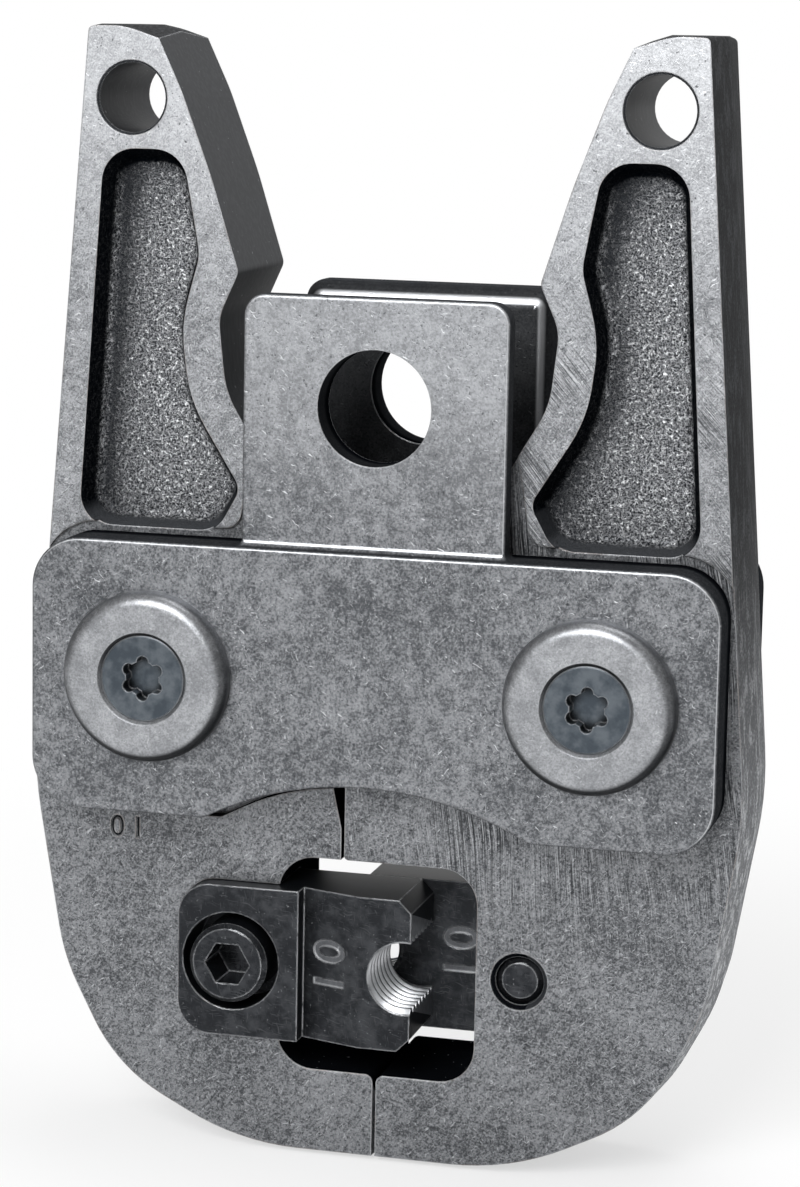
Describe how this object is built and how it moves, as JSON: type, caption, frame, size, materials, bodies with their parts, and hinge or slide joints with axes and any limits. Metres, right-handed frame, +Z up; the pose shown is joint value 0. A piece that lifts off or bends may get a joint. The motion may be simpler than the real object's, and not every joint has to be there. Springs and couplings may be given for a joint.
{
  "type": "threaded rod cutting jaw",
  "caption": "Plier-type cutting jaw for a radial press: two forged levers pivot between T-shaped plates and shear M10 threaded rod between two threaded inserts.",
  "frame": {"origin": "centre of the locking pin bore, midway between the two tongues", "axes": "+X to the right seen from the front, +Y to the back along the pin and the rod, +Z up towards the arms that the press rollers spread; drawn closed"},
  "size_m": [0.0908, 0.0374, 0.1394],
  "materials": {
    "plate": "tumbled hardened steel, mid grey with a fine pale speckle",
    "forging": "drop-forged steel, ground faces with diagonal scratches, dark grained flanks and pockets",
    "black_tool_steel": "black oxide tool steel with bright worn edges",
    "black_screw": "black oxide screw",
    "pin_steel": "ground steel pin",
    "washer_steel": "satin bright turned steel",
    "blued_screw": "dark blue-grey phosphated screw",
    "spring_steel": "spring wire"
  },
  "bodies": {
    "frame": {"front_plate": "plate", "rear_plate": "plate", "left_pivot_pin": "pin_steel", "right_pivot_pin": "pin_steel", "front_left_washer": "washer_steel", "front_left_washer_screw": "blued_screw", "front_right_washer": "washer_steel", "front_right_washer_screw": "blued_screw", "rear_left_washer": "washer_steel", "rear_left_washer_screw": "blued_screw", "rear_right_washer": "washer_steel", "rear_right_washer_screw": "blued_screw", "closing_spring": "spring_steel"},
    "left_jaw": {"left_lever": "forging", "left_cutting_insert": "black_tool_steel", "left_insert_screw": "black_screw"},
    "right_jaw": {"right_lever": "forging", "right_cutting_insert": "black_tool_steel", "right_insert_screw": "black_screw"}
  },
  "joints": [
    {"name": "left_jaw_pivot", "type": "hinge", "parent": "frame", "child": "left_jaw", "pos_m": [-0.0275, 0, -0.0338], "axis": [0, 1, 0], "range_deg": [0, 6], "stiffness_Nm_per_rad": 0.3, "springref_deg": -28.65, "deforming": ["closing_spring"]},
    {"name": "right_jaw_pivot", "type": "hinge", "parent": "frame", "child": "right_jaw", "pos_m": [0.0275, 0, -0.0338], "axis": [0, -1, 0], "range_deg": [0, 6], "stiffness_Nm_per_rad": 0.3, "springref_deg": -28.65, "deforming": ["closing_spring"]}
  ]
}
